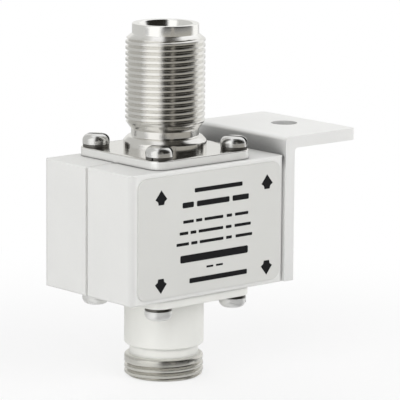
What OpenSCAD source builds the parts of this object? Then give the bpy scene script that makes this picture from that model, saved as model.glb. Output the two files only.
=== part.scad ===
// Coax lightning arrestor: a two-half housing between two threaded jacks, with a gas tube,
// a blocking capacitor and a mounting bracket. Millimetres.
// The coax axis is vertical, the label faces -Y and the bracket stands on the +X side.
// The origin is the middle of the bracket hole, on the bracket's top face.

/* [Housing] */
// Housing width along the label
housing_w = 39.8; // [32:0.1:50]
// Housing depth, both halves together
housing_d = 27.4; // [24:0.1:34]
// Housing height
housing_h = 25.8; // [21:0.1:32]
// Radius of the four upright outer edges
housing_corner_r = 1.3; // [0.6:0.1:3]
// Chamfer on the edges of each half
edge_break = 0.3; // [0.1:0.05:0.6]
// Width of the joint line between the two halves
seam_w = 0.45; // [0.2:0.05:0.8]
// Depth of the joint line
seam_depth = 0.7; // [0.4:0.05:1.2]
// Chamber wall on the left side
left_wall = 6.7; // [5:0.1:9]
// Chamber wall on the bracket side
right_wall = 12.8; // [9:0.1:15]
// Chamber wall at the front and at the back
face_wall = 4.2; // [3:0.1:6]
// Chamber wall under each jack flange
end_wall = 4.2; // [4:0.1:6]
// Radius of the upright corners of the chamber
chamber_corner_r = 2; // [1:0.1:3]

/* [Label plate] */
// Bare margin at the left and right of the label
label_side_margin = 1.45; // [0.5:0.05:4]
// Bare margin above and below the label
label_end_margin = 0.9; // [0.5:0.05:4]
// Label plate thickness
label_t = 0.3; // [0.1:0.05:1]
// Label corner radius
label_corner_r = 2; // [0.5:0.1:4]

/* [Jack flanges] */
// Side of the square flange
flange_w = 25.4; // [24:0.1:28]
// Flange thickness
flange_t = 1.85; // [1.4:0.05:3]
// Flange corner radius
flange_corner_r = 2.85; // [1:0.05:4]
// Distance between neighbouring flange screws
flange_screw_spacing = 19.45; // [18:0.05:21]

/* [Jack interface] */
// Outside diameter of the coupling thread
thread_d = 15.875; // [15:0.005:17]
// Width of the mouth at the rim
mouth_d = 10.9; // [9:0.1:11.5]
// Length of the tapered lead into the mouth
mouth_lead = 3.4; // [1:0.1:4]
// Bore that takes the mating outer contact
interface_bore_d = 8.1; // [7.5:0.05:9]
// Depth from the rim to the reference shoulder
interface_depth = 9.1; // [8:0.1:10]
// Throat opening at the reference shoulder
throat_d = 7; // [6:0.1:7.4]
// Length of the throat
throat_h = 1; // [0.6:0.1:2]
// Insulator bore behind the throat
insulator_bore_d = 8.6; // [8:0.1:9.5]
// Clearance round the insulator and the contact
insert_clearance = 0.03; // [0.01:0.01:0.1]

/* [Antenna jack] */
// Collar diameter above the flange
collar_d = 16.65; // [16:0.05:18]
// Collar height above the flange
collar_h = 2.55; // [1:0.05:5]
// Chamfer on the top edge of the collar
collar_chamfer = 0.9; // [0.2:0.05:1.2]
// Undercut diameter below the thread
undercut_d = 13.5; // [12.5:0.1:15]
// Undercut height
undercut_h = 1.4; // [0.5:0.05:3]
// Slope from the undercut out to the thread
thread_runout = 1.6; // [0.6:0.1:3]
// Length of the full thread
antenna_thread_len = 16.4; // [10:0.1:22]
// Slope from the thread in to the nose
antenna_lead = 1.05; // [0.4:0.05:2]
// Plain nose diameter
nose_d = 13.3; // [12.6:0.1:14.5]
// Plain nose height
nose_h = 2; // [0.5:0.1:4]

/* [Equipment jack] */
// Plain barrel diameter
barrel_d = 16; // [15.9:0.05:17.5]
// Plain barrel length below the flange
barrel_len = 10.2; // [6:0.1:16]
// Groove diameter
groove_d = 13.8; // [12.5:0.1:15]
// Groove length
groove_len = 2; // [1:0.1:4]
// Edge chamfer of the barrel and of the thread start
groove_chamfer = 0.35; // [0.1:0.05:0.8]
// Length of the full thread
equipment_thread_len = 3.6; // [3:0.1:10]
// Slope from the thread in to the rim
equipment_lead = 0.55; // [0.3:0.05:2]
// Rim diameter
equipment_rim_d = 14.4; // [13:0.1:15.5]

/* [Centre contacts] */
// Socket outside diameter
contact_d = 3.04; // [2.6:0.02:3.4]
// Distance from the rim to the socket tip
contact_recess = 4.1; // [3:0.1:5]
// Socket hole diameter
contact_hole_d = 1.7; // [1.5:0.05:1.9]
// Socket hole depth
contact_hole_depth = 6; // [4:0.1:8]
// Width of the crossing slots
contact_slot_w = 0.3; // [0.2:0.05:0.5]
// Length of the crossing slots
contact_slot_len = 4.4; // [2:0.1:5]
// Diameter of the tail in the chamber
tail_d = 2; // [1.4:0.1:2.6]
// Length of the tail in the chamber
tail_len = 1.6; // [1:0.1:2.5]

/* [Flange and housing screws] */
// Shank diameter
screw_d = 2.845; // [2.2:0.005:3.2]
// Head diameter
screw_head_d = 5.45; // [4.6:0.05:6]
// Head height
screw_head_h = 1.95; // [1.4:0.05:2.6]
// Radius of the top edge of the head
screw_head_round = 1; // [0.2:0.05:1.2]
// Slot width
screw_slot_w = 0.9; // [0.5:0.05:1.2]
// Slot depth
screw_slot_depth = 0.95; // [0.4:0.05:1.2]
// Thread length held in the housing
screw_grip = 3.4; // [2.5:0.1:3.5]
// Outside diameter of the lock washer under a flange screw head
washer_d = 5.3; // [4.6:0.05:6]
// Lock washer thickness
washer_t = 0.6; // [0.4:0.05:0.8]
// Gap of the split in a lock washer
washer_split = 0.35; // [0.2:0.05:0.6]
// Gap round a shank in its hole
hole_clearance = 0.05; // [0.02:0.01:0.2]
// Gap beyond the end of a shank
hole_end_gap = 0.3; // [0.1:0.05:0.5]
// Distance of the housing screws from the side faces
closing_screw_side = 3.3; // [3:0.1:4]
// Distance of the housing screws from the top and bottom faces
closing_screw_end = 5.2; // [4.8:0.1:7]
// Depth of the recess for a housing screw head
closing_recess = 2.5; // [2.3:0.05:3]
// Thread length of a housing screw in the front half
closing_grip = 6; // [4:0.1:8]

/* [Mounting bracket] */
// Bracket plate thickness
bracket_t = 2.4; // [1.5:0.1:4]
// Bracket width along the depth of the housing
bracket_w = 28; // [20:0.1:34]
// Height of the top face above the housing
bracket_rise = 3.65; // [2:0.05:12]
// Length of the top leg from the housing side
bracket_reach = 19.2; // [14:0.1:30]
// Outer bend radius
bracket_outer_r = 0.8; // [0.2:0.1:3]
// Inner bend radius
bracket_inner_r = 0.8; // [0.2:0.1:2]
// Corner radius of the free end
bracket_tip_r = 0.8; // [0.2:0.1:4]
// Mounting hole diameter
bracket_hole_d = 5.4; // [4:0.1:6.5]
// Distance from the housing side to the hole
bracket_hole_x = 12.3; // [8:0.1:16]
// Distance of each bracket screw from the seam
bracket_screw_y = 7.4; // [5:0.1:10]
// Bracket screw shank diameter
bracket_screw_d = 3.5; // [2.8:0.05:4]
// Bracket screw head diameter
bracket_screw_head_d = 6.6; // [5:0.1:7.5]
// Bracket screw head height
bracket_screw_head_h = 2.2; // [1.5:0.1:3]
// Bracket screw thread length in the housing
bracket_screw_grip = 5; // [3:0.1:7]

/* [Chamber parts] */
// Thickness of the line straps
strap_t = 0.5; // [0.3:0.05:0.8]
// Width of the line straps
strap_w = 5; // [3:0.1:7]
// Reach of the straps past the coax axis
strap_reach = 2.6; // [1.6:0.1:4]
// Distance from the chamber end to the strap tab
strap_drop = 0.9; // [0.5:0.1:1]
// Capacitor disc diameter
capacitor_d = 6; // [4:0.1:8]
// Capacitor disc thickness
capacitor_t = 2; // [1:0.1:3]
// Gas tube diameter
tube_d = 6; // [4:0.1:6.4]
// Gas tube length with both electrodes
tube_len = 5; // [4:0.1:6]
// Thickness of each electrode
electrode_t = 0.9; // [0.5:0.05:1.2]
// Radius step from the ceramic in to the electrodes
electrode_step = 0.25; // [0.1:0.05:0.5]
// Wall of the gas tube ceramic
tube_wall = 0.9; // [0.6:0.05:1.2]
// Space that the ground spring fills
spring_span = 2.4; // [1.6:0.1:3]
// Spring strip thickness
spring_t = 0.35; // [0.2:0.05:0.5]
// Spring strip width
spring_w = 4; // [2:0.1:5]
// Height of the spring legs
spring_leg_h = 3.2; // [2:0.1:4]

/* [Hidden] */
$fn = 64;
over = 1;
half_w = housing_w / 2;
half_d = housing_d / 2;
half_h = housing_h / 2;
chamber_left = half_w - left_wall;
chamber_right = half_w - right_wall;
chamber_half_d = half_d - face_wall;
chamber_half_h = half_h - end_wall;
bracket_top = half_h + bracket_rise;
hole_x = half_w + bracket_hole_x;
home = [-hole_x, 0, -bracket_top];
screw_offset = flange_screw_spacing / 2;
screw_hole_d = screw_d + 2 * hole_clearance;
flange_hole_d = screw_d + 4 * hole_clearance;
closing_x = half_w - closing_screw_side;
closing_z = half_h - closing_screw_end;
closing_shank = half_d - closing_recess + closing_grip;
recess_d = screw_head_d + 8 * hole_clearance;

antenna_collar_top = flange_t + collar_h;
antenna_undercut_top = antenna_collar_top + undercut_h;
antenna_thread_start = antenna_undercut_top + thread_runout;
antenna_thread_end = antenna_thread_start + antenna_thread_len;
antenna_nose_start = antenna_thread_end + antenna_lead;
antenna_rim = antenna_nose_start + nose_h;

equipment_barrel_end = flange_t + barrel_len;
equipment_groove_end = equipment_barrel_end + groove_len;
equipment_thread_start = equipment_groove_end + groove_chamfer;
equipment_thread_end = equipment_thread_start + equipment_thread_len;
equipment_rim = equipment_thread_end + equipment_lead;

tab_far = chamber_half_h - strap_drop;
tab_near = tab_far - strap_t;
foot_near = capacitor_t / 2;
foot_far = foot_near + strap_t;
spring_face = -chamber_left + spring_span;
web_x = spring_face + tube_len;
tube_z = (tab_near + foot_far) / 2;

// A rectangle with round corners, in the middle of the plane
module round_rect(w, d, r) {
  square([w - 2 * r, d], center = true);
  square([w, d - 2 * r], center = true);
  for (sx = [-1, 1], sy = [-1, 1])
    translate([sx * (w / 2 - r), sy * (d / 2 - r)]) circle(r);
}

// A rectangle from corner a to corner b with all four corners cut by c
module cut_rect(a, b, c) {
  polygon([
    [a[0] + c, a[1]], [b[0] - c, a[1]], [b[0], a[1] + c], [b[0], b[1] - c],
    [b[0] - c, b[1]], [a[0] + c, b[1]], [a[0], b[1] - c], [a[0], a[1] + c]
  ]);
}

// One half of the housing from y0 to y1, with broken edges
module half_block(y0, y1) {
  intersection() {
    linear_extrude(housing_h, center = true) intersection() {
      round_rect(housing_w, housing_d, housing_corner_r);
      cut_rect([-half_w, y0], [half_w, y1], edge_break);
    }
    rotate([90, 0, 90]) linear_extrude(housing_w + over, center = true)
      cut_rect([y0, -half_h], [y1, half_h], edge_break);
    rotate([90, 0, 0]) linear_extrude(housing_d + over, center = true)
      cut_rect([-half_w, -half_h], [half_w, half_h], edge_break);
  }
}

// The joint line that shows all round the outside, cut from the rear half
module seam_line() {
  rotate([90, 0, 0]) translate([0, 0, -seam_w]) linear_extrude(seam_w) difference() {
    square([housing_w + over, housing_h + over], center = true);
    square([housing_w - 2 * seam_depth, housing_h - 2 * seam_depth], center = true);
  }
}

// The chamber that both halves share, with the insulator bores
module chamber_space() {
  translate([(chamber_right - chamber_left) / 2, 0, 0])
    linear_extrude(2 * chamber_half_h, center = true)
      round_rect(chamber_left + chamber_right, 2 * chamber_half_d, chamber_corner_r);
  cylinder(d = insulator_bore_d, h = housing_h + over, center = true);
}

// Tapped holes under both flanges
module flange_screw_holes() {
  for (sx = [-1, 1], sy = [-1, 1], sz = [0, 1])
    mirror([0, 0, sz]) translate([sx * screw_offset, sy * screw_offset, half_h - screw_grip - hole_end_gap])
      cylinder(d = screw_hole_d, h = screw_grip + hole_end_gap + over);
}

// Tapped holes on the bracket side
module bracket_screw_holes() {
  for (sy = [-1, 1])
    translate([half_w - bracket_screw_grip - hole_end_gap, sy * bracket_screw_y, 0]) rotate([0, 90, 0])
      cylinder(d = bracket_screw_d + 2 * hole_clearance, h = bracket_screw_grip + hole_end_gap + over);
}

// Places of the four screws that close the housing, pointing to the front
module closing_places() {
  for (sx = [-1, 1], sz = [-1, 1])
    translate([sx * closing_x, half_d - closing_recess, sz * closing_z]) rotate([90, 0, 0])
      children();
}

// A slotted pan head screw: the head stands on the plane z = 0, the shank goes down
module pan_screw(shank_d, shank_len, head_d, head_h, turn) {
  corner = head_d / 2 - screw_head_round;
  arc = [for (a = [0 : 15 : 90])
    [corner + screw_head_round * cos(a), head_h - screw_head_round + screw_head_round * sin(a)]];
  difference() {
    rotate_extrude() polygon(concat([[0, 0], [head_d / 2, 0]], arc, [[0, head_h]]));
    rotate([0, 0, turn]) translate([0, 0, head_h - screw_slot_depth + head_h / 2])
      cube([head_d + over, screw_slot_w, head_h], center = true);
  }
  rotate_extrude() polygon([
    [0, -shank_len], [shank_d / 2 - edge_break, -shank_len], [shank_d / 2, edge_break - shank_len],
    [shank_d / 2, 0], [0, 0]
  ]);
}

// Place of flange screw i, from 0 to 3, at height z
function flange_place(i, z) = [(i % 2 == 0 ? -1 : 1) * screw_offset, (i < 2 ? -1 : 1) * screw_offset, z];

// Four screws on a flange, each on its lock washer
module flange_screws(turns) {
  for (i = [0 : 3])
    translate(flange_place(i, half_h + flange_t + washer_t))
      pan_screw(screw_d, flange_t + washer_t + screw_grip, screw_head_d, screw_head_h, turns[i]);
}

// Four split lock washers on a flange
module flange_washers(turns) {
  for (i = [0 : 3])
    translate(flange_place(i, half_h + flange_t))
      rotate([0, 0, turns[i]]) difference() {
        rotate_extrude() cut_rect([flange_hole_d / 2, 0], [washer_d / 2, washer_t], washer_t / 8);
        translate([0, -washer_split / 2, -over]) cube([washer_d, washer_split, washer_t + 2 * over]);
      }
}

// The square flange on the plane z = 0, with its screw holes
module flange_plate() {
  edge = flange_w / 2;
  difference() {
    intersection() {
      linear_extrude(flange_t) round_rect(flange_w, flange_w, flange_corner_r);
      rotate([90, 0, 90]) linear_extrude(flange_w + over, center = true)
        cut_rect([-edge, 0], [edge, flange_t], edge_break);
      rotate([90, 0, 0]) linear_extrude(flange_w + over, center = true)
        cut_rect([-edge, 0], [edge, flange_t], edge_break);
    }
    for (sx = [-1, 1], sy = [-1, 1])
      translate([sx * screw_offset, sy * screw_offset, -over]) cylinder(d = flange_hole_d, h = flange_t + 2 * over);
  }
}

// The hollow of a jack: insulator bore, throat, interface bore and tapered mouth
module jack_hollow(rim) {
  shoulder = rim - interface_depth;
  rotate_extrude() polygon([
    [0, -over], [insulator_bore_d / 2, -over], [insulator_bore_d / 2, shoulder - throat_h],
    [throat_d / 2, shoulder - throat_h], [throat_d / 2, shoulder],
    [interface_bore_d / 2, shoulder], [interface_bore_d / 2, rim - mouth_lead],
    [mouth_d / 2, rim], [mouth_d / 2, rim + over], [0, rim + over]
  ]);
}

// The insulator of a jack, from the chamber to the reference shoulder
module jack_insulator(rim) {
  shoulder = rim - interface_depth;
  body_r = insulator_bore_d / 2 - insert_clearance;
  throat_r = throat_d / 2 - insert_clearance;
  bore_r = contact_d / 2 + insert_clearance;
  rotate_extrude() polygon([
    [bore_r, -end_wall], [body_r, -end_wall], [body_r, shoulder - throat_h],
    [throat_r, shoulder - throat_h], [throat_r, shoulder], [bore_r, shoulder]
  ]);
}

// The centre contact of a jack: tail in the chamber, slotted socket at the mouth
module jack_contact(rim) {
  tip = rim - contact_recess;
  difference() {
    rotate_extrude() polygon([
      [0, -end_wall - tail_len], [tail_d / 2, -end_wall - tail_len], [tail_d / 2, -end_wall],
      [contact_d / 2, -end_wall], [contact_d / 2, tip - edge_break],
      [contact_d / 2 - edge_break, tip], [0, tip]
    ]);
    translate([0, 0, tip - contact_hole_depth]) cylinder(d = contact_hole_d, h = contact_hole_depth + over);
    for (a = [45, 135])
      rotate([0, 0, a]) translate([0, 0, tip - contact_slot_len / 2 + over / 2])
        cube([contact_d + over, contact_slot_w, contact_slot_len + over], center = true);
  }
}

// A folded strap: tab at the jack, web beside the gas tube, foot on the capacitor
module line_strap() {
  difference() {
    rotate([90, 0, 0]) linear_extrude(strap_w, center = true) polygon([
      [web_x, foot_near], [strap_reach, foot_near], [strap_reach, foot_far],
      [web_x + strap_t, foot_far], [web_x + strap_t, tab_near], [strap_reach, tab_near],
      [strap_reach, tab_far], [web_x, tab_far]
    ]);
    translate([0, 0, tab_near - strap_t])
      cylinder(d = tail_d + 2 * insert_clearance, h = 3 * strap_t);
  }
}

// An electrode disc with a stepped-in rim, on the plane z = 0
module electrode() {
  cylinder(d = tube_d - 2 * electrode_step, h = electrode_t);
}

module front_housing() {
  color([0.88, 0.89, 0.89]) translate(home) difference() {
    half_block(-half_d, 0);
    chamber_space();
    flange_screw_holes();
    bracket_screw_holes();
    closing_places() translate([0, 0, -over]) cylinder(d = screw_hole_d, h = closing_shank + hole_end_gap + over);
  }
}

module rear_housing() {
  color([0.87, 0.88, 0.88]) translate(home) difference() {
    half_block(0, half_d);
    seam_line();
    chamber_space();
    flange_screw_holes();
    bracket_screw_holes();
    closing_places() {
      cylinder(d = flange_hole_d, h = housing_d);
      translate([0, 0, -closing_recess - over]) cylinder(d = recess_d, h = closing_recess + over);
    }
  }
}

module housing_screws() {
  color([0.74, 0.75, 0.76]) translate(home)
    closing_places() rotate([180, 0, 0]) pan_screw(screw_d, closing_shank, screw_head_d, screw_head_h, 35);
}

module label_plate() {
  color([0.83, 0.83, 0.82]) translate(home) translate([0, -half_d, 0]) rotate([90, 0, 0])
    linear_extrude(label_t)
      round_rect(housing_w - 2 * label_side_margin, housing_h - 2 * label_end_margin, label_corner_r);
}

module antenna_jack_shell() {
  color([0.8, 0.8, 0.78]) translate(home) translate([0, 0, half_h]) difference() {
    union() {
      flange_plate();
      rotate_extrude() polygon([
        [0, flange_t / 2], [collar_d / 2, flange_t / 2], [collar_d / 2, antenna_collar_top - collar_chamfer],
        [collar_d / 2 - collar_chamfer, antenna_collar_top], [undercut_d / 2, antenna_collar_top],
        [undercut_d / 2, antenna_undercut_top], [thread_d / 2, antenna_thread_start],
        [thread_d / 2, antenna_thread_end], [nose_d / 2, antenna_nose_start],
        [nose_d / 2, antenna_rim - edge_break], [nose_d / 2 - edge_break, antenna_rim], [0, antenna_rim]
      ]);
    }
    jack_hollow(antenna_rim);
  }
}

module antenna_jack_insulator() {
  color([0.95, 0.95, 0.93]) translate(home) translate([0, 0, half_h]) jack_insulator(antenna_rim);
}

module antenna_jack_contact() {
  color([0.83, 0.68, 0.33]) translate(home) translate([0, 0, half_h]) jack_contact(antenna_rim);
}

module antenna_flange_screws() {
  color([0.75, 0.76, 0.77]) translate(home) flange_screws([70, 48, 120, 20]);
}

module antenna_flange_washers() {
  color([0.42, 0.42, 0.41]) translate(home) flange_washers([200, 330, 75, 150]);
}

module equipment_jack_shell() {
  color([0.8, 0.8, 0.78]) translate(home) mirror([0, 0, 1]) translate([0, 0, half_h]) difference() {
    union() {
      flange_plate();
      rotate_extrude() polygon([
        [0, flange_t / 2], [barrel_d / 2, flange_t / 2], [barrel_d / 2, equipment_barrel_end - groove_chamfer],
        [barrel_d / 2 - groove_chamfer, equipment_barrel_end], [groove_d / 2, equipment_barrel_end],
        [groove_d / 2, equipment_groove_end], [thread_d / 2 - groove_chamfer, equipment_groove_end],
        [thread_d / 2, equipment_thread_start], [thread_d / 2, equipment_thread_end],
        [equipment_rim_d / 2, equipment_rim], [0, equipment_rim]
      ]);
    }
    jack_hollow(equipment_rim);
  }
}

module equipment_jack_insulator() {
  color([0.95, 0.95, 0.93]) translate(home) mirror([0, 0, 1]) translate([0, 0, half_h])
    jack_insulator(equipment_rim);
}

module equipment_jack_contact() {
  color([0.83, 0.68, 0.33]) translate(home) mirror([0, 0, 1]) translate([0, 0, half_h])
    jack_contact(equipment_rim);
}

module equipment_flange_screws() {
  color([0.75, 0.76, 0.77]) translate(home) mirror([0, 0, 1]) flange_screws([15, 95, 60, 140]);
}

module equipment_flange_washers() {
  color([0.42, 0.42, 0.41]) translate(home) mirror([0, 0, 1]) flange_washers([20, 160, 290, 110]);
}

module mounting_bracket() {
  outer = [half_w + bracket_outer_r, bracket_top - bracket_outer_r];
  inner = [half_w + bracket_t + bracket_inner_r, bracket_top - bracket_t - bracket_inner_r];
  color([0.88, 0.89, 0.89]) translate(home) difference() {
    intersection() {
      rotate([90, 0, 0]) linear_extrude(bracket_w, center = true) difference() {
        union() {
          translate([half_w, -half_h]) square([bracket_t, half_h + bracket_top - bracket_outer_r]);
          translate([half_w + bracket_outer_r, bracket_top - bracket_t])
            square([bracket_reach - bracket_outer_r, bracket_t]);
          translate(outer) circle(bracket_outer_r);
          translate([half_w + bracket_t / 2, inner[1]])
            square([bracket_t / 2 + bracket_inner_r, bracket_inner_r + bracket_t / 2]);
        }
        translate(inner) circle(bracket_inner_r);
      }
      translate([half_w + bracket_reach - housing_w, 0, -half_h - over])
        linear_extrude(half_h + bracket_top + 2 * over)
          round_rect(2 * housing_w, bracket_w, bracket_tip_r);
    }
    translate([hole_x, 0, bracket_top - bracket_t - over])
      cylinder(d = bracket_hole_d, h = bracket_t + 2 * over);
    for (sy = [-1, 1])
      translate([half_w - over, sy * bracket_screw_y, 0]) rotate([0, 90, 0])
        cylinder(d = bracket_screw_d + 4 * hole_clearance, h = bracket_t + 2 * over);
  }
}

module bracket_screws() {
  color([0.75, 0.76, 0.77]) translate(home)
    for (sy = [-1, 1])
      translate([half_w + bracket_t, sy * bracket_screw_y, 0]) rotate([0, 90, 0])
        pan_screw(bracket_screw_d, bracket_t + bracket_screw_grip, bracket_screw_head_d, bracket_screw_head_h,
          sy * 30);
}

module antenna_line_strap() {
  color([0.8, 0.52, 0.36]) translate(home) line_strap();
}

module equipment_line_strap() {
  color([0.8, 0.52, 0.36]) translate(home) mirror([0, 0, 1]) line_strap();
}

module blocking_capacitor() {
  color([0.72, 0.45, 0.25]) translate(home) cylinder(d = capacitor_d, h = capacitor_t, center = true);
}

module gas_tube_ceramic() {
  color([0.93, 0.92, 0.88]) translate(home) translate([spring_face + electrode_t, 0, tube_z]) rotate([0, 90, 0])
    difference() {
      cylinder(d = tube_d, h = tube_len - 2 * electrode_t);
      translate([0, 0, -over]) cylinder(d = tube_d - 2 * tube_wall, h = tube_len + over);
    }
}

module gas_tube_line_electrode() {
  color([0.7, 0.71, 0.72]) translate(home) translate([web_x - electrode_t, 0, tube_z]) rotate([0, 90, 0])
    electrode();
}

module gas_tube_ground_electrode() {
  color([0.7, 0.71, 0.72]) translate(home) translate([spring_face, 0, tube_z]) rotate([0, 90, 0])
    electrode();
}

module gas_tube_spring() {
  middle = spring_span / 2;
  color([0.77, 0.62, 0.36]) translate(home) translate([-chamber_left, 0, tube_z - spring_leg_h / 2])
    rotate([90, 0, 0]) linear_extrude(spring_w, center = true) {
      square([spring_t, spring_leg_h]);
      translate([spring_span - spring_t, 0]) square([spring_t, spring_leg_h]);
      intersection() {
        translate([middle, 0]) difference() {
          circle(middle);
          circle(middle - spring_t);
        }
        translate([0, -spring_span]) square([spring_span, spring_span + spring_t / 2]);
      }
    }
}

front_housing();
rear_housing();
housing_screws();
label_plate();
antenna_jack_shell();
antenna_jack_insulator();
antenna_jack_contact();
antenna_flange_screws();
antenna_flange_washers();
equipment_jack_shell();
equipment_jack_insulator();
equipment_jack_contact();
equipment_flange_screws();
equipment_flange_washers();
mounting_bracket();
bracket_screws();
antenna_line_strap();
equipment_line_strap();
blocking_capacitor();
gas_tube_ceramic();
gas_tube_line_electrode();
gas_tube_ground_electrode();
gas_tube_spring();
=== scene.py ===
"""Coax lightning arrestor: threaded jacks, slotted screws, label print, finishes and a studio."""

import math

import bmesh
import bpy
import numpy as np
from mathutils import Matrix, Vector


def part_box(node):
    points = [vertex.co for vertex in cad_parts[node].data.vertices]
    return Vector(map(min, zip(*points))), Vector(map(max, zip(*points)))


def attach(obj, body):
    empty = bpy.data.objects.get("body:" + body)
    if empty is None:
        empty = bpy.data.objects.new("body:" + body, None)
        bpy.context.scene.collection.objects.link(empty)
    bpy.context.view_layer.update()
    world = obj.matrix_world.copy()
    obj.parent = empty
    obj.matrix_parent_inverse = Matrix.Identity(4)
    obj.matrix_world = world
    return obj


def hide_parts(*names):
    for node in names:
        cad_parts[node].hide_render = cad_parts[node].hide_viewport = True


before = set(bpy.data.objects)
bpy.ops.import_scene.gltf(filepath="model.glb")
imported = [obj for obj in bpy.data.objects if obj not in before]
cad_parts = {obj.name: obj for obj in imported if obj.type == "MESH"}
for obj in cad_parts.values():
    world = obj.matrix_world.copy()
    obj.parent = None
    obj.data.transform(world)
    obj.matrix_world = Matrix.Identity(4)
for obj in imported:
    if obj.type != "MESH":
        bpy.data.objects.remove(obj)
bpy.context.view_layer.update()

bl_info = {
    "name": "Coax lightning arrestor",
    "version": (1, 0, 0),
    "blender": (4, 5, 0),
    "location": "3D View > Sidebar > Arrestor",
    "description": "Builds the jacks, screws, print, finishes and studio of the arrestor",
    "category": "Object",
}

MM = 0.001
LABEL_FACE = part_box("label_plate")[0].y
HOUSING_LOW, HOUSING_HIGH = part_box("front_housing")
CONTACT_LOW, CONTACT_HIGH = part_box("antenna_jack_contact")
AXIS_X = (CONTACT_LOW.x + CONTACT_HIGH.x) / 2
TOP_SEAT = HOUSING_HIGH.z
LOW_SEAT = HOUSING_LOW.z
TOP_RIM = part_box("antenna_jack_shell")[1].z
LOW_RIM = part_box("equipment_jack_shell")[0].z
MIDDLE = Vector((AXIS_X, 0.0, (TOP_SEAT + LOW_SEAT) / 2))
REAR_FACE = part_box("rear_housing")[1].y
SUNK = 0.3 * MM
FLANGE_NECK = 0.4
ROUND_STEPS = 145
THREAD_CREST, THREAD_FLANK, THREAD_ROUNDING = 0.40, 0.57, 0.003
INK_DEPTH, INK_HEIGHT = -0.01 * MM, 0.02 * MM
FLOOR_LEVEL, FLOOR_OPENING = LOW_RIM - 0.02 * MM, 7.1 * MM


def length(name, description, default):
    """A size in metres with its default given in millimetres."""
    return bpy.props.FloatProperty(
        name=name, description=description, default=default * MM, unit="LENGTH", precision=5
    )


def colour(name, description, default):
    """A linear colour."""
    return bpy.props.FloatVectorProperty(
        name=name, description=description, default=default, size=3, subtype="COLOR",
        min=0.0, max=1.0
    )


class ArrestorJackSizes(bpy.types.PropertyGroup):
    """Sizes of the two jack shells."""

    thread_diameter: length("Thread diameter", "Outside diameter of the coupling thread", 15.875)
    thread_pitch: length("Thread pitch", "Distance between neighbouring crests", 1.15)
    thread_depth: length("Thread depth", "Depth from crest to root", 0.52)
    flange_side: length("Flange side", "Side of the square flange", 25.4)
    flange_thickness: length("Flange thickness", "Thickness of the square flange", 1.85)
    flange_corner: length("Flange corner", "Corner radius of the flange", 2.85)
    hole_spacing: length("Hole spacing", "Distance between neighbouring flange holes", 19.45)
    hole_diameter: length("Hole diameter", "Diameter of a flange hole", 3.045)
    edge: length("Edge", "Rounding of the turned and milled edges", 0.22)
    mouth_diameter: length("Mouth diameter", "Width of the mouth at the rim", 10.9)
    mouth_lead: length("Mouth lead", "Length of the tapered lead into the mouth", 3.4)
    bore_diameter: length("Bore diameter", "Bore that takes the mating outer contact", 8.1)
    bore_depth: length("Bore depth", "Depth from the rim to the shoulder", 9.1)
    throat_diameter: length("Throat diameter", "Opening at the shoulder", 7.0)
    throat_length: length("Throat length", "Length of the throat", 1.0)
    insulator_bore: length("Insulator bore", "Bore behind the throat", 8.6)
    collar_diameter: length("Collar diameter", "Collar above the antenna flange", 16.65)
    collar_height: length("Collar height", "Collar height above the antenna flange", 2.55)
    collar_chamfer: length("Collar chamfer", "Chamfer on the collar", 0.9)
    undercut_diameter: length("Undercut diameter", "Neck below the antenna thread", 13.5)
    undercut_height: length("Undercut height", "Height of that neck", 1.4)
    thread_runout: length("Thread run-out", "Slope from the neck out to the thread", 1.6)
    antenna_thread: length("Antenna thread", "Length of the full antenna thread", 16.4)
    antenna_lead: length("Antenna lead", "Slope from the thread in to the nose", 1.05)
    nose_diameter: length("Nose diameter", "Plain nose of the antenna jack", 13.3)
    barrel_diameter: length("Barrel diameter", "Plain barrel of the equipment jack", 16.0)
    barrel_length: length("Barrel length", "Length of that barrel", 10.2)
    groove_diameter: length("Groove diameter", "Groove above the equipment thread", 13.8)
    groove_length: length("Groove length", "Length of that groove", 2.0)
    groove_chamfer: length("Groove chamfer", "Chamfer beside that groove", 0.35)
    equipment_thread: length("Equipment thread", "Length of the full equipment thread", 3.6)
    equipment_band: length("Equipment band", "Plain band before the equipment thread's ridges", 0.9)
    equipment_rim: length("Equipment rim", "Diameter of the equipment rim", 14.4)


class ArrestorScrewSizes(bpy.types.PropertyGroup):
    """Sizes of the slotted pan head screws."""

    head_diameter: length("Head diameter", "Head of a flange or housing screw", 5.45)
    head_height: length("Head height", "Height of that head", 1.95)
    head_round: length("Head rounding", "Radius of the head's top edge", 1.3)
    shank_diameter: length("Shank diameter", "Shank of a flange or housing screw", 2.845)
    slot_width: length("Slot width", "Width of the driver slot", 0.9)
    slot_depth: length("Slot depth", "Depth of the driver slot", 0.95)
    bracket_head_diameter: length("Bracket head diameter", "Head of a bracket screw", 6.6)
    bracket_head_height: length("Bracket head height", "Height of that head", 2.2)
    bracket_shank_diameter: length("Bracket shank diameter", "Shank of a bracket screw", 3.5)
    washer_thickness: length("Washer thickness", "Lock washer under a flange screw head", 0.6)
    grip: length("Flange screw grip", "Thread of a flange screw in the housing", 3.4)
    closing_recess: length("Recess", "Depth of a housing screw's recess", 2.5)
    closing_grip: length("Housing screw grip", "Thread of a housing screw in the front half", 6.0)


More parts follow.
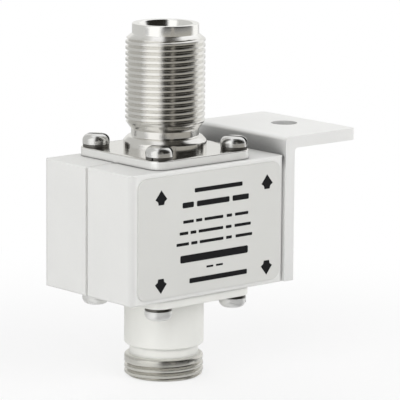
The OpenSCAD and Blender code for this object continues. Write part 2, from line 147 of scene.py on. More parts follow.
class ArrestorColours(bpy.types.PropertyGroup):
    """Base colours of the finishes."""

    housing: colour("Housing", "Satin aluminium of the housing", (0.775, 0.775, 0.76))
    bracket: colour("Bracket", "Satin aluminium of the bracket", (0.94, 0.94, 0.93))
    label: colour("Label", "Field of the label plate", (0.64, 0.64, 0.617))
    ink: colour("Ink", "Printed marks", (0.012, 0.012, 0.013))
    plating: colour("Plating", "Plated jack shells", (0.80, 0.79, 0.765))
    flange: colour("Flange", "Satin sides of the antenna flange", (0.86, 0.86, 0.845))
    # Painted light: the nose's lighter plating stands for a brighter reflection there.
    nose: colour("Nose", "Polished nose of the antenna jack", (0.93, 0.925, 0.905))
    barrel: colour("Barrel", "Satin of the equipment barrel and flange", (0.85, 0.85, 0.815))
    # Painted shade: this plating is darker than the antenna jack's, standing for darker reflections
    # low near the floor.
    equipment: colour("Equipment thread", "Duller plating of that thread", (0.64, 0.63, 0.59))
    screw: colour("Screws", "Bright screws", (0.78, 0.78, 0.77))
    washer: colour("Washers", "Dark lock washers", (0.16, 0.155, 0.145))
    insulator: colour("Insulator", "White jack insulator", (0.88, 0.88, 0.86))
    gold: colour("Gold", "Gold plated contacts", (0.94, 0.70, 0.30))
    copper: colour("Copper", "Line straps", (0.86, 0.48, 0.32))
    ceramic: colour("Ceramic", "Gas tube ceramic", (0.86, 0.84, 0.78))
    capacitor: colour("Capacitor", "Capacitor disc", (0.52, 0.26, 0.11))
    nickel: colour("Nickel", "Gas tube electrodes", (0.66, 0.64, 0.60))
    spring: colour("Spring", "Ground spring", (0.72, 0.52, 0.25))


class ArrestorStage(bpy.types.PropertyGroup):
    """Camera, floor and light."""

    azimuth: bpy.props.FloatProperty(
        name="Azimuth", description="Turn of the camera round the coax axis",
        default=math.radians(-41.07), subtype="ANGLE")
    elevation: bpy.props.FloatProperty(
        name="Elevation", description="Angle at which the camera looks down",
        default=math.radians(10.516), subtype="ANGLE")
    roll: bpy.props.FloatProperty(
        name="Roll", description="Turn of the camera about its own axis",
        default=math.radians(0.458), subtype="ANGLE")
    distance: length("Distance", "Distance from the housing's middle", 609.26)
    across: length("Across", "Place of the housing's middle, rightwards in the picture", -7.107)
    up: length("Up", "Place of the housing's middle, upwards in the picture", -4.016)
    lens: bpy.props.FloatProperty(
        name="Lens", description="Focal length on a 36 mm sensor", default=274.2)
    floor_colour: colour("Floor", "Floor colour", (0.90, 0.90, 0.90))
    sky_light: bpy.props.FloatProperty(
        name="Sky light", description="Strength of the even light from all round", default=0.52)
    key_power: bpy.props.FloatProperty(
        name="Key light", description="Power of the key light", default=1.42, unit="POWER")
    fill_power: bpy.props.FloatProperty(
        name="Fill light", description="Power of the fill light", default=1.28, unit="POWER")


class Shell:
    """Closed grids and fans of points that become one mesh."""

    def __init__(self):
        self.points = []
        self.depths = []
        self.faces = []
        self.count = 0

    def add(self, points, depth=0.0):
        """Keeps an array of points with their depth in a slot, which later sets a painted shade,
        and returns their numbers.
        """
        flat = np.asarray(points, float).reshape(-1, 3)
        numbers = np.arange(len(flat)) + self.count
        self.points.append(flat)
        self.depths.append(np.broadcast_to(depth, np.shape(points)[:-1]).ravel())
        self.count += len(flat)
        return numbers.reshape(np.shape(points)[:-1])

    def grid(self, points, wrap_rows=False, wrap_columns=False, keep=None, depth=0.0):
        """Joins a grid's neighbours by quads where keep allows, round the ends if it wraps."""
        n = self.add(points, depth)
        if wrap_rows:
            n = np.vstack([n, n[:1]])
        if wrap_columns:
            n = np.hstack([n, n[:, :1]])
        quads = np.stack([n[:-1, :-1], n[1:, :-1], n[1:, 1:], n[:-1, 1:]], -1)
        quads = quads.reshape(-1, 4) if keep is None else quads[keep]
        self.faces += quads.tolist()

    def prism(self, outline, low, high, place):
        """A flat outline of (u, v) carried from depth low to depth high."""
        u, v = np.asarray(outline, float).T
        bottom = self.add(place(u, v, np.full_like(u, low)))
        top = self.add(place(u, v, np.full_like(u, high)))
        sides = np.stack([bottom, np.roll(bottom, -1), np.roll(top, -1), top], -1)
        self.faces += sides.tolist() + [bottom[::-1].tolist(), top.tolist()]

    def build(self, name, material, sharp=32.0):
        """Merges the seams and poles, turns the faces outwards and links the object."""
        mesh = bpy.data.meshes.new(name)
        mesh.from_pydata(np.concatenate(self.points).tolist(), [], self.faces)
        # The groove attribute carries the slot depth that sets the painted shade in screw slots.
        groove = mesh.attributes.new("groove", "FLOAT", "POINT")
        groove.data.foreach_set("value", np.concatenate(self.depths).astype(np.float32))
        work = bmesh.new()
        work.from_mesh(mesh)
        bmesh.ops.remove_doubles(work, verts=work.verts, dist=1e-7)
        bmesh.ops.dissolve_degenerate(work, dist=1e-8, edges=work.edges)
        bmesh.ops.recalc_face_normals(work, faces=work.faces)
        work.to_mesh(mesh)
        work.free()
        mesh.polygons.foreach_set("use_smooth", np.ones(len(mesh.polygons), bool))
        mesh.set_sharp_from_angle(angle=math.radians(sharp))
        mesh.materials.append(material)
        piece = bpy.data.objects.new(name, mesh)
        bpy.context.scene.collection.objects.link(piece)
        return piece


def soften(corners, radii, steps=5):
    """Rounds a closed profile's corners by quadratic curves that start a radius before them."""
    p = np.asarray(corners, float)
    radii = np.asarray(radii, float)[:, None]
    before = np.roll(p, 1, 0) - p
    after = np.roll(p, -1, 0) - p
    long_before = np.linalg.norm(before, axis=1, keepdims=True)
    long_after = np.linalg.norm(after, axis=1, keepdims=True)
    a = p + before / long_before * np.minimum(radii, 0.4 * long_before)
    b = p + after / long_after * np.minimum(radii, 0.4 * long_after)
    t = np.linspace(0, 1, steps)[None, :, None]
    return (1 - t) ** 2 * a[:, None] + 2 * t * (1 - t) * p[:, None] + t**2 * b[:, None]


def thread_fall(angle, height, sizes):
    """Depth of a right-hand thread, from 0 on its flat crest down straight flanks to 1 at its root.

    With t running from 0 at the crest's edge to 1 at the root, the fall is t held between 0 and 1,
    and both of its corners are rounded by a hyperbola."""
    turn = np.mod(height / sizes.thread_pitch - angle / (2 * np.pi), 1.0)
    t = (np.abs(turn - 0.5) * 2 - THREAD_CREST) / THREAD_FLANK
    return (np.sqrt(t**2 + THREAD_ROUNDING) - np.sqrt((t - 1) ** 2 + THREAD_ROUNDING) + 1) / 2


def turned_shell(shell, lower, threaded, upper, seat, up, sizes):
    """A turned barrel: a closed profile of (radius, height) carried round the coax axis.

    lower holds the corners from the seat to the thread, threaded those of the threaded stretch, and
    upper those from the rim through the bore back to the seat. Rows of the threaded stretch climb
    one pitch a turn with the thread, held between its two ends, and their radius is the smaller of
    the straight profile and the thread."""
    corners = lower + threaded + upper
    radii = [sizes.edge] * len(lower) + [0.0] * len(threaded) + [sizes.edge] * len(upper)
    rounded = soften(corners, radii)
    before = rounded[:len(lower)].reshape(-1, 2)
    after = rounded[len(lower) + len(threaded):].reshape(-1, 2)
    angle = np.linspace(0, 2 * np.pi, ROUND_STEPS)[None, :]
    ends = np.sort([seat + up * threaded[0][1], seat + up * threaded[-1][1]])
    half = np.array([0.0, 0.33, 0.38, 0.42, 0.48, 0.6, 0.78, 0.89, 0.95]) / 2
    steps = np.sort(np.concatenate([[0.0], 0.5 + half, 0.5 - half[1:]]))
    first, last = ends / sizes.thread_pitch
    turns = np.arange(np.floor(first) - 1, np.ceil(last) + 1)
    rows = (turns[:, None] + steps).ravel()[::up, None]
    climb = np.clip(sizes.thread_pitch * (rows + angle / (2 * np.pi)), *ends)
    limit = np.interp((climb - seat) * up, [h for _, h in threaded], [r for r, _ in threaded])
    crest = sizes.thread_diameter / 2
    cut = np.minimum(limit, crest - sizes.thread_depth * thread_fall(angle, climb, sizes))
    level = 0 * angle
    r = np.concatenate([before[:, :1] + level, cut, after[:, :1] + level])
    z = np.concatenate([seat + up * before[:, 1:] + level, climb, seat + up * after[:, 1:] + level])
    points = np.stack([AXIS_X + r * np.cos(angle), r * np.sin(angle), z], -1)
    shell.grid(points, wrap_rows=True)


def hollow(rim, s):
    """The profile of a jack's inside, from the rim to the seat."""
    shoulder = rim - s.bore_depth
    return [
        (s.mouth_diameter / 2, rim), (s.bore_diameter / 2, rim - s.mouth_lead),
        (s.bore_diameter / 2, shoulder), (s.throat_diameter / 2, shoulder),
        (s.throat_diameter / 2, shoulder - s.throat_length),
        (s.insulator_bore / 2, shoulder - s.throat_length), (s.insulator_bore / 2, SUNK),
    ]


def flange_plate(shell, seat, up, neck, sizes):
    """A square flange in four mirrored quarters, each a band from its screw hole to its border.

    The border runs along a middle line, an outer side, the round corner, the other side, the other
    middle line and the circle of the neck. The band turns down over a rounded edge at the outer
    sides, drops straight at the neck, and stays open at the middle lines, where the next quarter
    joins."""
    half, corner = sizes.flange_side / 2, sizes.flange_corner
    edge, thick = sizes.edge, sizes.flange_thickness
    at = sizes.hole_spacing / 2
    run = np.linspace(neck, half - 2 * edge, 15)
    side = np.linspace(0, half - corner, 15)[:-1]
    turn = np.linspace(0, np.pi / 2, 13)
    arc = np.stack([np.cos(turn), np.sin(turn)], 1)
    line = np.stack([run, 0 * run], 1)
    wall_a = np.stack([half + 0 * side, side], 1)
    border = np.concatenate([line, wall_a, half - corner + corner * arc, wall_a[::-1, ::-1],
                             line[::-1, ::-1], neck * arc[-2:0:-1]])
    out_a = np.tile([1.0, 0.0], (len(side), 1))
    outward = np.concatenate([0 * line, out_a, arc, out_a[:, ::-1], 0 * line, 0 * arc[1:-1]])
    walled = np.zeros(len(border), bool)
    first = len(line)
    last = first + 2 * len(side) + len(arc)
    walled[first:last - 1] = True
    walled[last + len(line) - 1:] = True
    ray = border - at
    hole = at + sizes.hole_diameter / 2 * ray / np.linalg.norm(ray, axis=1, keepdims=True)
    bend = np.linspace(0, np.pi / 2, 5)[:, None, None]
    over = border - outward * edge * (1 - np.sin(bend))
    fall = np.linalg.norm(outward, axis=1) * edge * (1 - np.cos(bend[:, :, 0]))
    flat = np.concatenate([[hole, hole], over, over[::-1]])
    level = np.concatenate([[0 * fall[0], thick + 0 * fall[0]], thick - fall, fall[::-1]])
    keep = np.ones(level.shape, bool)
    keep[2:-1] = walled
    for way_x in (-1, 1):
        for way_y in (-1, 1):
            x, y = AXIS_X + way_x * flat[..., 0], way_y * flat[..., 1]
            points = np.stack([x, y, seat + up * level], -1)
            shell.grid(points, wrap_rows=True, wrap_columns=True, keep=keep)


def slotted_screw(shell, place, head, height, shank, reach, turn, sizes):
    """A slotted pan head screw.

    The head's top is a height over chords of a circle: flat, with a quarter round at the edge, and
    lowered by the slot's depth between the slot's two edges. Its wall drops straight to the seat,
    and the shank is a profile of (radius, height) carried round."""
    r, w, tiny = head / 2, sizes.slot_width / 2, 1e-6
    side = r * np.sin(np.linspace(math.asin((w + tiny) / r), np.pi / 2, 16))
    across = np.concatenate([-side[::-1], np.linspace(-w + tiny, w - tiny, 6), side])[:, None]
    half_chord = np.sqrt(np.maximum(r * r - across * across, 0))
    along = np.sin(np.linspace(-np.pi / 2, np.pi / 2, 33))[None, :] * half_chord
    radius = np.minimum(np.hypot(along, across), r)
    drop = np.maximum(radius - (r - sizes.head_round), 0)
    top = height - sizes.head_round + np.sqrt(np.maximum(sizes.head_round**2 - drop**2, 0))
    in_slot = np.abs(across) < w
    top = np.where(in_slot, np.minimum(top, height - sizes.slot_depth), top)
    across = across + 0 * along
    # Points in the slot are marked for the painted shade there.
    shell.grid(place(along, across, top, turn), depth=in_slot * 1.0)
    shell.grid(place(along, across, 0 * top, turn))
    for end in (0, -1):
        wall = np.stack([top[:, end], 0 * top[:, end]], 1)
        shell.grid(place(along[:, [end, end]], across[:, [end, end]], wall, turn))
    profile = np.array([(0, SUNK), (shank / 2, SUNK), (shank / 2, SUNK - reach),
                        (shank / 2 - SUNK, -reach), (0, -reach)])
    angle = np.linspace(0, 2 * np.pi, 32, endpoint=False)[None, :]
    pr, pz = profile[:, 0:1], profile[:, 1:2] + 0 * angle
    shell.grid(place(pr * np.cos(angle), pr * np.sin(angle), pz, 0.0), wrap_columns=True)


def standing(origin, outward, sideways):
    """A placement for screws: local x and y lie across the head, local z points out of the seat."""
    out, a = Vector(outward), Vector(sideways)
    axes = np.array([a, out.cross(a), out])

    def place(x, y, z, turn):
        cos, sin = math.cos(turn), math.sin(turn)
        local = np.stack([x * cos - y * sin, x * sin + y * cos, z], -1)
        return local @ axes + np.array(origin)

    return place


class Value:
    """A shader socket with Python's operators; each one adds a Math node."""

    def __init__(self, finish, socket):
        self.finish = finish
        self.socket = socket

    def math(self, operation, a, b):
        """A Math node on two values."""
        return self.finish.node("ShaderNodeMath", {"operation": operation}, {0: a, 1: b})

    def __add__(self, other):
        return self.math("ADD", self, other)

    def __radd__(self, other):
        return self.math("ADD", other, self)

    def __sub__(self, other):
        return self.math("SUBTRACT", self, other)

    def __rsub__(self, other):
        return self.math("SUBTRACT", other, self)

    def __mul__(self, other):
        return self.math("MULTIPLY", self, other)

    def __rmul__(self, other):
        return self.math("MULTIPLY", other, self)


class Finish:
    """A material whose nodes come from one method."""

    def __init__(self, name, tree=None):
        self.material = None
        if tree is None:
            self.material = bpy.data.materials.new(name)
            self.material.use_nodes = True
            tree = self.material.node_tree
        self.tree = tree
        self.tree.nodes.clear()

    def node(self, kind, settings=None, sockets=None, out=0):
        """Adds a node, sets its settings, then its sockets, and returns one of its outputs."""
        made = self.tree.nodes.new(kind)
        for key, value in (settings or {}).items():
            setattr(made, key, value)
        for key, value in (sockets or {}).items():
            target = made.inputs[key]
            if isinstance(value, Value):
                self.tree.links.new(value.socket, target)
            else:
                target.default_value = value
        return Value(self, made.outputs[out]) if made.outputs else None

    def place(self, scale=(1, 1, 1)):
        """Object coordinates, stretched along the axes."""
        where = self.node("ShaderNodeTexCoord", out="Object")
        return self.node("ShaderNodeMapping", {}, {"Vector": where, "Scale": scale})

    def noise(self, where, scale, detail=3.0, rough=0.55):
        """Fine cloudy noise from 0 to 1."""
        return self.node("ShaderNodeTexNoise", {}, {
            "Vector": where, "Scale": scale, "Detail": detail, "Roughness": rough})

    def tint(self, factor, dark, light):
        """A colour between two by a factor."""
        ends = [c if isinstance(c, Value) else (*c, 1) for c in (dark, light)]
        sockets = {0: factor, 6: ends[0], 7: ends[1]}
        return self.node("ShaderNodeMix", {"data_type": "RGBA"}, sockets, out=2)

    def ramp(self, value, first, last, low=0.0, high=1.0):
        """A smooth step from low to high while a value runs from first to last."""
        return self.node("ShaderNodeMapRange", {"interpolation_type": "SMOOTHSTEP"}, {
            "Value": value, "From Min": first, "From Max": last, "To Min": low, "To Max": high})

    def scaled(self, shade, part):
        """A part of a colour."""
        return self.node("ShaderNodeVectorMath", {"operation": "SCALE"}, {0: shade, "Scale": part})

    def axis(self, vector, name):
        """One part of a vector."""
        return self.node("ShaderNodeSeparateXYZ", {}, {0: vector}, out=name)

    def slot(self, shade, left):
        """A painted shade that falls to a part of itself in a screw's slot."""
        deep = self.node("ShaderNodeAttribute", {"attribute_name": "groove"}, out="Fac")
        return self.scaled(shade, self.ramp(deep, 0.25, 0.9, 1.0, left))

    def painted_shade(self, shade, reach, left, closed=0.1, within=None):
        """A painted shade that falls to a part of itself where other surfaces stand close, as in a
        joint.

        closed is the open share of the sky at which the shade has fallen all the way. within holds
        an axis and two places on it, between which the painted shade sets in."""
        if within is not None:
            name, unshaded, fully_shaded = within
            left = self.ramp(self.axis(self.place(), name), unshaded, fully_shaded, 1.0, left)
        settings, sockets = {"samples": 12}, {"Distance": reach}
        # Ambient occlusion darkens the colour: painted shade in joints, corners and holes.
        free = self.node("ShaderNodeAmbientOcclusion", settings, sockets, out="AO")
        return self.scaled(shade, self.ramp(free, closed, 0.95, left, 1.0))

    def edges(self, shade, left):
        """A painted shade that falls to a part of itself on rounded upright edges, in place of a
        darker reflection.

        The fall follows twice the product of the normal's level parts, nothing on flat sides."""
        normal = self.node("ShaderNodeNewGeometry", out="Normal")
        both = 2.0 * self.axis(normal, "X") * self.axis(normal, "Y")
        turned = self.node("ShaderNodeMath", {"operation": "ABSOLUTE"}, {0: both})
        return self.scaled(shade, 1.0 - (1.0 - left) * turned)

    def relief(self, height, strength, distance):
        """A normal bent by a fine height."""
        return self.node("ShaderNodeBump", {}, {
            "Strength": strength, "Distance": distance, "Height": height})

    def surface(self, constants, **varying):
        """The one shader of a material."""
        sockets = dict(constants)
        sockets.update({key.replace("_", " "): value for key, value in varying.items()})
        shader = self.node("ShaderNodeBsdfPrincipled", {}, sockets)
        self.node("ShaderNodeOutputMaterial", {}, {"Surface": shader})
        return self.material


def shades(rgb, spread):
    """A darker and a lighter shade of a colour."""
    low = tuple(max(0.0, c * (1 - spread)) for c in rgb)
    high = tuple(min(1.0, c * (1 + spread)) for c in rgb)
    return low, high


def satin_metal(name, rgb, rough, metal, stretch=(1, 1, 1), grain=2600.0, painted_shade=None, edges=None):
    """Blasted or brushed metal: cloudy shade and roughness over a fine grain, painted shade in
    slots, joints and edges.
    """
    f = Finish(name)
    clouds = f.noise(f.place(), 90.0, 4.0)
    fine = f.noise(f.place(stretch), grain, 2.0, 0.6)
    # The slot step paints shade into screw slots.
    shade = f.slot(f.tint(0.65 * clouds + 0.35 * fine, *shades(rgb, 0.05)), 0.15)
    # Painted shade where other surfaces stand close, if asked.
    if painted_shade is not None:
        shade = f.painted_shade(shade, *painted_shade)
    # Painted shade on rounded upright edges, if asked.
    if edges is not None:
        shade = f.edges(shade, edges)
    roughness = (rough - 0.07) + 0.08 * clouds + 0.06 * fine
    relief = f.relief(fine, 0.02, 0.0002)
    return f.surface({"Metallic": metal}, Base_Color=shade, Roughness=roughness, Normal=relief)


def plated_metal(name, rgb, rough, satin=None, painted_light=None):
    """Bright plating over fine turning lines round the coax axis.

    satin holds two heights, past which the plating turns to satin, and the satin's shade, roughness
    and metal share; the satin takes painted shade where other surfaces stand close. polished holds
    two heights, past which the plating is painted a lighter shade in place of a brighter
    reflection, and that shade."""
    f = Finish(name)
    where = f.place()
    clouds = f.noise(where, 160.0, 4.0)
    turning = f.noise(f.place((0.02, 0.02, 1.0)), 5200.0, 2.0, 0.5)
    shade = f.tint(clouds, *shades(rgb, 0.06))
    roughness = (rough - 0.05) + 0.07 * clouds + 0.06 * turning
    relief = f.relief(turning, 0.015, 0.0001)
    height = f.axis(where, "Z")
    # Painted light: past these heights the plating takes a lighter shade, standing for a brighter
    # reflection.
    if painted_light is not None:
        plain_end, light_start, bright = painted_light
        past = f.ramp(height, plain_end, light_start)
        shade = f.tint(past, shade, f.tint(clouds, *shades(bright, 0.06)))
    if satin is None:
        return f.surface({"Metallic": 1.0}, Base_Color=shade, Roughness=roughness, Normal=relief)
    plated_end, satin_start, pale, dull, share = satin
    past = f.ramp(height, plated_end, satin_start)
    # Painted shade: the satin darkens where other surfaces stand close.
    paler = f.painted_shade(f.tint(clouds, *shades(pale, 0.04)), 0.0008, 0.12)
    shade = f.tint(past, shade, paler)
    roughness = roughness + past * (dull - rough)
    metal = 1.0 - (1.0 - share) * past
    return f.surface({}, Base_Color=shade, Roughness=roughness, Metallic=metal, Normal=relief)


def dull_solid(name, rgb, rough, spread, gloss=0.5):
    """Matt plastic, ceramic or ink: cloudy shade and a fine pitted skin."""
    f = Finish(name)
    clouds = f.noise(f.place(), 140.0, 3.0)
    fine = f.noise(f.place(), 1800.0, 3.0)
    shade = f.tint(0.6 * clouds + 0.4 * fine, *shades(rgb, spread))
    roughness = (rough - 0.06) + 0.12 * fine
    relief = f.relief(fine, 0.03, 0.0001)
    constants = {"Specular IOR Level": gloss}
    return f.surface(constants, Base_Color=shade, Roughness=roughness, Normal=relief)


def finish_node(node, material):
    """Gives a CAD node a material."""
    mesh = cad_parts[node].data
    mesh.materials.clear()
    mesh.materials.append(material)


class ARRESTOR_OT_antenna_jack(bpy.types.Operator):
    """Turns the antenna jack's shell with its long thread"""

    bl_idname = "arrestor.antenna_jack"
    bl_label = "Antenna jack"

    def execute(self, context):
        s, c = context.scene.arrestor_jacks, context.scene.arrestor_colours
        shell = Shell()
        rim = TOP_RIM - TOP_SEAT
        collar = s.flange_thickness + s.collar_height
        neck = collar + s.undercut_height
        start = neck + s.thread_runout
        end = start + s.antenna_thread
        nose = end + s.antenna_lead
        wide = s.collar_diameter / 2
        crest = s.thread_diameter / 2
        lower = [(wide, SUNK), (wide, collar - s.collar_chamfer), (wide - s.collar_chamfer, collar),
                 (s.undercut_diameter / 2, collar)]
        threaded = [(s.undercut_diameter / 2, neck), (crest, start), (crest, end),
                    (s.nose_diameter / 2, nose)]
        upper = [(s.nose_diameter / 2, rim)] + hollow(rim, s)
        turned_shell(shell, lower, threaded, upper, TOP_SEAT, 1, s)
        flange_plate(shell, TOP_SEAT, 1, FLANGE_NECK * s.collar_diameter, s)
        top = TOP_SEAT + s.flange_thickness
        # The nose's lighter plating is painted light for a brighter reflection; the flange's satin
        # takes painted shade in its joints.
        plating = plated_metal("antenna_plating", c.plating, 0.14,
                               satin=(top - 0.05 * MM, top - 0.25 * MM, c.flange, 0.28, 0.5),
                               painted_light=(TOP_SEAT + end, TOP_SEAT + nose, c.nose))
        piece = shell.build("antenna_jack_turned", plating)
        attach(piece, "root")
        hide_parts("antenna_jack_shell")
        return {"FINISHED"}


class ARRESTOR_OT_equipment_jack(bpy.types.Operator):
    """Turns the equipment jack's shell with its plain barrel and short thread"""

    bl_idname = "arrestor.equipment_jack"
    bl_label = "Equipment jack"

    def execute(self, context):
        s, c = context.scene.arrestor_jacks, context.scene.arrestor_colours
        shell = Shell()
        rim = LOW_SEAT - LOW_RIM
        barrel = s.flange_thickness + s.barrel_length
        groove = barrel + s.groove_length
        start = groove + s.groove_chamfer
        end = start + s.equipment_thread
        wide, cut = s.barrel_diameter / 2, s.groove_chamfer
        crest = s.thread_diameter / 2
        lower = [(wide, SUNK), (wide, barrel - cut), (wide - cut, barrel),
                 (s.groove_diameter / 2, barrel), (s.groove_diameter / 2, groove),
                 (crest - cut, groove), (crest, start)]
        threaded = [(crest, start + s.equipment_band), (crest, end),
                    (s.equipment_rim / 2, rim - 0.01 * MM)]
        upper = [(s.equipment_rim / 2, rim)] + hollow(rim, s)
        turned_shell(shell, lower, threaded, upper, LOW_SEAT, -1, s)
        flange_plate(shell, LOW_SEAT, -1, FLANGE_NECK * s.barrel_diameter, s)
        change = LOW_SEAT - groove
        # The barrel's satin takes painted shade where other surfaces stand close.
        plating = plated_metal("equipment_plating", c.equipment, 0.22,
                               satin=(change - 0.3 * MM, change + 0.3 * MM, c.barrel, 0.5, 0.2))
        piece = shell.build("equipment_jack_turned", plating)
        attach(piece, "root")
        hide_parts("equipment_jack_shell")
        return {"FINISHED"}


class ARRESTOR_OT_screws(bpy.types.Operator):
    """Makes the slotted screws of the flanges, housing and bracket, and finishes the washers"""

    bl_idname = "arrestor.screws"
    bl_label = "Slotted screws"

    def execute(self, context):
        s, j = context.scene.arrestor_screws, context.scene.arrestor_jacks
        c = context.scene.arrestor_colours
        # The bright screws take painted shade where other surfaces stand close.
        bright = satin_metal("bright_screw", c.screw, 0.24, 1.0, grain=3400.0,
                             painted_shade=(0.003, 0.12, 0.35))
        pale = satin_metal("pale_screw", c.screw, 0.42, 0.55, grain=3400.0)
        at = j.hole_spacing / 2
        corners = [(-at, -at), (at, -at), (-at, at), (at, at)]
        stack = j.flange_thickness + s.washer_thickness
        top, low = TOP_SEAT + stack, LOW_SEAT - stack
        reach = stack + s.grip
        turns = {"antenna": (124, 118, 122, 20), "equipment": (139, 130, 142, 30)}
        for jack, z, way, metal in (("antenna", top, 1, bright), ("equipment", low, -1, pale)):
            shell = Shell()
            for (x, y), turn in zip(corners, turns[jack]):
                seat = standing((AXIS_X + x, y, z), (0, 0, way), (1, 0, 0))
                slotted_screw(shell, seat, s.head_diameter, s.head_height, s.shank_diameter,
                              reach, way * math.radians(turn), s)
            self.keep(shell, f"{jack}_flange_screw_set", f"{jack}_flange_screws", metal)
        shell = Shell()
        low_box, high_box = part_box("housing_screws")
        half = s.head_diameter / 2
        depth = REAR_FACE - s.closing_recess
        for x in (low_box.x + half, high_box.x - half):
            for z in (low_box.z + half, high_box.z - half):
                seat = standing((x, depth, z), (0, 1, 0), (1, 0, 0))
                slotted_screw(shell, seat, s.head_diameter, s.head_height, s.shank_diameter,
                              depth + s.closing_grip, math.radians(35), s)
        self.keep(shell, "housing_screw_set", "housing_screws", bright)
        shell = Shell()
        low_box, high_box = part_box("bracket_screws")
        half = s.bracket_head_diameter / 2
        seat_x = high_box.x - s.bracket_head_height
        for y, turn in ((low_box.y + half, 60), (high_box.y - half, 120)):
            seat = standing((seat_x, y, MIDDLE.z), (1, 0, 0), (0, 1, 0))
            slotted_screw(shell, seat, s.bracket_head_diameter, s.bracket_head_height,
                          s.bracket_shank_diameter, seat_x - low_box.x, math.radians(turn), s)
        self.keep(shell, "bracket_screw_set", "bracket_screws", bright)
        dark = satin_metal("dark_washer", c.washer, 0.38, 1.0, grain=3000.0)
        finish_node("antenna_flange_washers", dark)
        finish_node("equipment_flange_washers", dark)
        return {"FINISHED"}

    def keep(self, shell, name, node, material):
        """Puts a set of screws in place of its CAD node."""
        piece = shell.build(name, material)
        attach(piece, "root")
        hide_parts(node)


class ARRESTOR_OT_label_print(bpy.types.Operator):
    """Prints the direction arrows and plain bars on the label plate"""

    bl_idname = "arrestor.label_print"
    bl_label = "Label print"

    def execute(self, context):
        shell = Shell()

        def on_label(u, v, depth):
            return np.stack([AXIS_X + u * MM, LABEL_FACE - depth, MIDDLE.z + v * MM], -1)

        arrow = np.array([(0, 1.5), (-0.75, 0.55), (-1.5, -0.35), (-0.85, -0.8), (-0.7, -1.45),
                          (0.7, -1.45), (0.85, -0.8), (1.5, -0.35), (0.75, 0.55)])
        spots = ((-12.72, 8.0, 1), (14.88, 8.12, 1), (-12.74, -9.5, -1), (14.93, -9.33, -1))
        for u, v, way in spots:
            shell.prism(arrow * (1, way) + (u, v), INK_DEPTH, INK_HEIGHT, on_label)
        lines = [
            (8.5, 0.85, [(-4.2, 8.3)]),
            (5.8, 1.1, [(-7.3, -4.4), (-3.6, 4.9), (5.7, 10.0)]),
            (2.5, 0.6, [(-7.1, -4.4), (-3.8, -2.2), (-1.6, 3.3), (4.2, 5.6), (6.4, 9.9)]),
            (0.25, 0.6, [(-8.0, -5.8), (-5.2, -3.7), (-3.1, 3.3), (4.0, 5.5), (6.3, 10.6)]),
            (-1.9, 0.6, [(-8.8, -5.6), (-5.0, -3.4), (-2.8, 3.4), (4.1, 5.6), (6.6, 11.0)]),
            (-4.9, 1.5, [(-7.8, 9.9)]),
            (-7.1, 0.4, [(-1.0, 0.8), (1.5, 3.3)]),
            (-9.4, 1.0, [(-5.4, 9.7)]),
        ]
        for v, tall, spans in lines:
            r = tall * 0.22
            quarter = np.linspace(0, np.pi / 2, 5)
            cx = np.concatenate([np.cos(quarter + k * np.pi / 2) for k in range(4)]) * r
            cy = np.concatenate([np.sin(quarter + k * np.pi / 2) for k in range(4)]) * r
            for left, right in spans:
                mid, half = (left + right) / 2, (right - left) / 2
                bar_x = cx + np.repeat([1, -1, -1, 1], 5) * (half - r) + mid
                bar_y = cy + np.repeat([1, 1, -1, -1], 5) * (tall / 2 - r) + v
                shell.prism(np.stack([bar_x, bar_y], 1), INK_DEPTH, INK_HEIGHT, on_label)
        ink = dull_solid("black_ink", context.scene.arrestor_colours.ink, 0.6, 0.3, gloss=0.12)
        piece = shell.build("label_marks", ink)
        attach(piece, "root")
        return {"FINISHED"}


class ARRESTOR_OT_housing(bpy.types.Operator):
    """Finishes the two housing halves, the label plate and the bracket"""

    bl_idname = "arrestor.housing"
    bl_label = "Housing, label and bracket"

    def execute(self, context):
        c = context.scene.arrestor_colours
        # Painted shade: the housing darkens where other parts stand close, but not towards the
        # seam, and on its rounded upright edges.
        joint = ("Y", HOUSING_HIGH.y - 0.5 * MM, HOUSING_HIGH.y - 1.5 * MM)
        inside = ("Z", TOP_SEAT - 4 * MM, TOP_SEAT + 1 * MM)
        satin = satin_metal("housing_satin", c.housing, 0.6, 0.15,
                            painted_shade=(0.004, 0.75, 0.1, joint), edges=0.82)
        finish_node("front_housing", satin)
        finish_node("rear_housing", satin)
        # The bracket takes strong painted shade where the jack and flange stand close, fading out
        # below the housing's top.
        brushed = satin_metal("bracket_satin", c.bracket, 0.46, 0.4, (1.0, 0.08, 1.0), 3000.0,
                              painted_shade=(0.012, 0.15, 0.3, inside))
        finish_node("mounting_bracket", brushed)
        finish_node("label_plate", satin_metal("label_field", c.label, 0.55, 0.1, grain=3200.0))
        return {"FINISHED"}


class ARRESTOR_OT_inner_parts(bpy.types.Operator):
    """Finishes the insulators, contacts and chamber parts"""

    bl_idname = "arrestor.inner_parts"
    bl_label = "Inner parts"

    def execute(self, context):
        c = context.scene.arrestor_colours
        white = dull_solid("white_insulator", c.insulator, 0.42, 0.03)
        gold = plated_metal("gold_contact", c.gold, 0.2)
        copper = satin_metal("copper_strap", c.copper, 0.3, 1.0, (1.0, 0.1, 1.0))
        nickel = satin_metal("nickel_electrode", c.nickel, 0.28, 1.0)
        for jack in ("antenna", "equipment"):
            finish_node(f"{jack}_jack_insulator", white)
            finish_node(f"{jack}_jack_contact", gold)
            finish_node(f"{jack}_line_strap", copper)
        finish_node("blocking_capacitor", dull_solid("capacitor_glaze", c.capacitor, 0.3, 0.12))
        finish_node("gas_tube_ceramic", dull_solid("tube_ceramic", c.ceramic, 0.5, 0.05))
        finish_node("gas_tube_line_electrode", nickel)
        finish_node("gas_tube_ground_electrode", nickel)
        bronze = satin_metal("bronze_spring", c.spring, 0.25, 1.0, (1.0, 0.1, 1.0))
        finish_node("gas_tube_spring", bronze)
        return {"FINISHED"}


